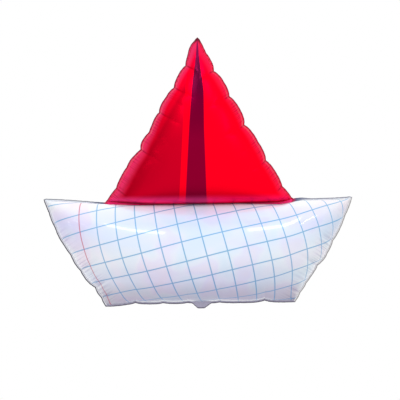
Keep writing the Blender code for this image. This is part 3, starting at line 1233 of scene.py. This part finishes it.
    def weld_strip(self) -> bpy.types.Mesh:
        """The strip of sealed film between the hull's top seam and the sail's base seam."""
        hull_edge, sail_edge = self.hull.surface()[-1], self.sail.surface()[0]
        reach = self.sail.width / 2 + self.weld_end
        x = np.linspace(-reach, reach, self.weld_steps)
        low = np.interp(x, hull_edge[:, 0], hull_edge[:, 2]) - self.overlap
        high = np.interp(x, sail_edge[:, 0], sail_edge[:, 2]) + self.overlap
        up = np.array([0.0, 0.2, 0.8, 1.0])[:, None]
        z = low + (high - low) * up
        y = np.full(z.shape, -self.thickness / 2)
        mesh = closed_film("weld_strip", np.stack([x + 0.0 * up, y, z], axis=-1), {})
        ink_points(mesh, np.tile(linear(self.weld_ink), (len(mesh.vertices), 1)))
        return mesh

    def build(self, finish: bpy.types.Material) -> list[bpy.types.Object]:
        """Builds and dresses the rim and the weld."""
        return [as_piece(self.ring(), finish), as_piece(self.weld_strip(), finish)]


@dataclass(frozen=True)
class StripLight:
    """A long soft lamp, seen as a streak in the gloss.

    Attributes:
        azimuth: Its bearing in degrees from the camera's side, right of it positive.
        elevation: Its height in degrees above the horizon.
        size: Its length and width.
        level: Its radiance, where 1 is the white of the room.
        tilt: How far its right end is turned up, in degrees.
    """

    azimuth: float
    elevation: float
    size: tuple[float, float]
    level: float
    tilt: float = 0.0


@dataclass
class Studio:
    """White room, strip lamps, floor and camera.

    Attributes:
        target: What the lamps face.
        distance: How far off they stand.
        frame_width: Width that the picture covers at the balloon.
        roll: Turn of the camera in degrees.
        wall_level: Level of the room as gloss mirrors it.
        dips: For each darker side of the room, its direction, the cosines at which it starts and
            is darkest, and the level it loses.
        soft_levels: Levels from below and from above, as matt ink sees them.
    """

    target: tuple[float, float, float] = (0.0, 0.0, 0.20)
    distance: float = 2.4
    camera_at: tuple[float, float, float] = (0.0016, -4.0, 0.2811)
    frame_width: float = 1.0357
    roll: float = 0.9
    floor_level: float = -0.9
    floor_radius: float = 1.3
    wall_level: float = 1.05
    dips: tuple[tuple[tuple[float, float, float], float, float, float], ...] = (
        ((-0.87, -0.50, 0.0), 0.72, 0.99, 0.20),
        ((0.0, 0.0, -1.0), 0.35, 0.95, 0.20),
    )
    soft_levels: tuple[float, float] = (0.42, 1.32)
    strips: tuple[StripLight, ...] = (
        StripLight(-23, 47, (0.80, 0.26), 4.5, tilt=8.0),
        StripLight(28, 48, (0.60, 0.32), 4.8, tilt=-14.0),
        StripLight(46, 34, (0.60, 0.07), 12.0, tilt=28.0),
        StripLight(-66, 6, (0.035, 0.30), 7.0),
        StripLight(-52, 24, (0.40, 0.03), 7.0, tilt=-12.0),
    )

    def camera(self) -> None:
        """A long lens level with the balloon, turned a little, as the photograph was taken."""
        data = bpy.data.cameras.new("photo_camera")
        data.sensor_width = 36.0
        data.lens = data.sensor_width * abs(self.camera_at[1]) / self.frame_width
        camera = linked(data)
        turn = math.radians(self.roll)
        right = Vector((math.cos(turn), 0.0, -math.sin(turn)))
        up = Vector((math.sin(turn), 0.0, math.cos(turn)))
        axes = Matrix((right, up, right.cross(up))).transposed()
        camera.matrix_world = Matrix.Translation(self.camera_at) @ axes.to_4x4()
        bpy.context.scene.camera = camera

    def lamps(self) -> None:
        """Strip lamps, each turned to face the balloon."""
        for number, strip in enumerate(self.strips):
            data = bpy.data.lights.new(f"strip_{number}", "AREA")
            data.shape = "RECTANGLE"
            data.size, data.size_y = strip.size
            data.energy = strip.level * math.pi * strip.size[0] * strip.size[1]
            side, high = math.radians(strip.azimuth), math.radians(strip.elevation)
            flat = math.cos(high)
            away = Vector((flat * math.sin(side), -flat * math.cos(side), math.sin(high)))
            turned = away.to_track_quat("Z", "Y").to_matrix()
            turned = turned @ Matrix.Rotation(math.radians(strip.tilt), 3, "Z")
            place = Vector(self.target) + away * self.distance
            lamp = linked(data)
            lamp.matrix_world = Matrix.Translation(place) @ turned.to_4x4()
            lamp.visible_camera = False

    def room(self) -> None:
        """White walls behind, a darker side to the left and a lower level from below.

        The camera sees plain white, matt ink a soft light from above, and gloss the darker sides.
        """
        world = bpy.data.worlds.new("white_room")
        world.use_nodes = True
        tree = world.node_tree
        tree.nodes.clear()
        add = partial(add_node, tree)
        where = add("TexCoord").outputs["Generated"]
        level: bpy.types.Node | float = self.wall_level
        for middle, start, end, loss in self.dips:
            towards = add("VectorMath", {0: where, 1: middle}, operation="DOT_PRODUCT")
            span = {0: towards.outputs["Value"], 1: start, 2: end, 3: 0.0, 4: loss}
            dip = add("MapRange", span, **SMOOTH)
            level = add("Math", {0: level, 1: dip}, operation="SUBTRACT")
        upward = add("SeparateXYZ", {0: where}).outputs[2]
        below, above = self.soft_levels
        soft = add("MapRange", {0: upward, 1: -1.0, 2: 1.0, 3: below, 4: above})
        for kind, seen in (("Is Diffuse Ray", soft), ("Is Camera Ray", 1.0)):
            ray = add("LightPath").outputs[kind]
            level = add("Mix", {0: ray, 2: level, 3: seen}, data_type="FLOAT")
        back = add("Background", {"Color": (1.0, 1.0, 1.0, 1.0), "Strength": level})
        add("OutputWorld", {"Surface": back})
        bpy.context.scene.world = world

    def floor(self) -> None:
        """A pale floor well below the balloon, which floats. The balloon mirrors it darker."""
        turn = np.linspace(0, 2 * math.pi, 64, endpoint=False)
        x, y = self.floor_radius * np.cos(turn), self.floor_radius * np.sin(turn)
        points = np.stack([x, y, np.full(turn.shape, self.floor_level)], axis=-1)
        mesh = bpy.data.meshes.new("floor")
        mesh.from_pydata(points.tolist(), [], [list(range(len(turn)))])
        material, tree, shader = new_finish("pale_floor")
        ray = add_node(tree, "LightPath").outputs["Is Camera Ray"]
        colours = {0: ray, 6: linear("#b9b5c8"), 7: linear("#f4f4f6")}
        colour = add_node(tree, "Mix", colours, **LAID_OVER).outputs[2]
        set_inputs(tree, shader, {"Base Color": colour, "Roughness": 0.9})
        mesh.materials.append(material)
        linked(mesh)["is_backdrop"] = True

    def build(self) -> None:
        """Sets up the whole studio."""
        bpy.context.scene.view_settings.view_transform = "Standard"
        self.camera()
        self.lamps()
        self.room()
        self.floor()


def corners() -> list[list[float]]:
    """Lowest and highest corner of the shown object, as plain lists."""
    return [list(corner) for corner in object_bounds()]


def main() -> None:
    logging.basicConfig(level=logging.INFO, format="%(message)s")
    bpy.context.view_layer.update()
    Studio().build()
    hull = Hull()
    sail = Sail(hull)
    sealed = HeatSealedFilm().build()
    hull.build(PearlRuledFoil().build())
    sail.build(RedFoldedFoil().build())
    SealedRim(hull, sail).build(sealed)


if __name__ == "__main__":
    main()
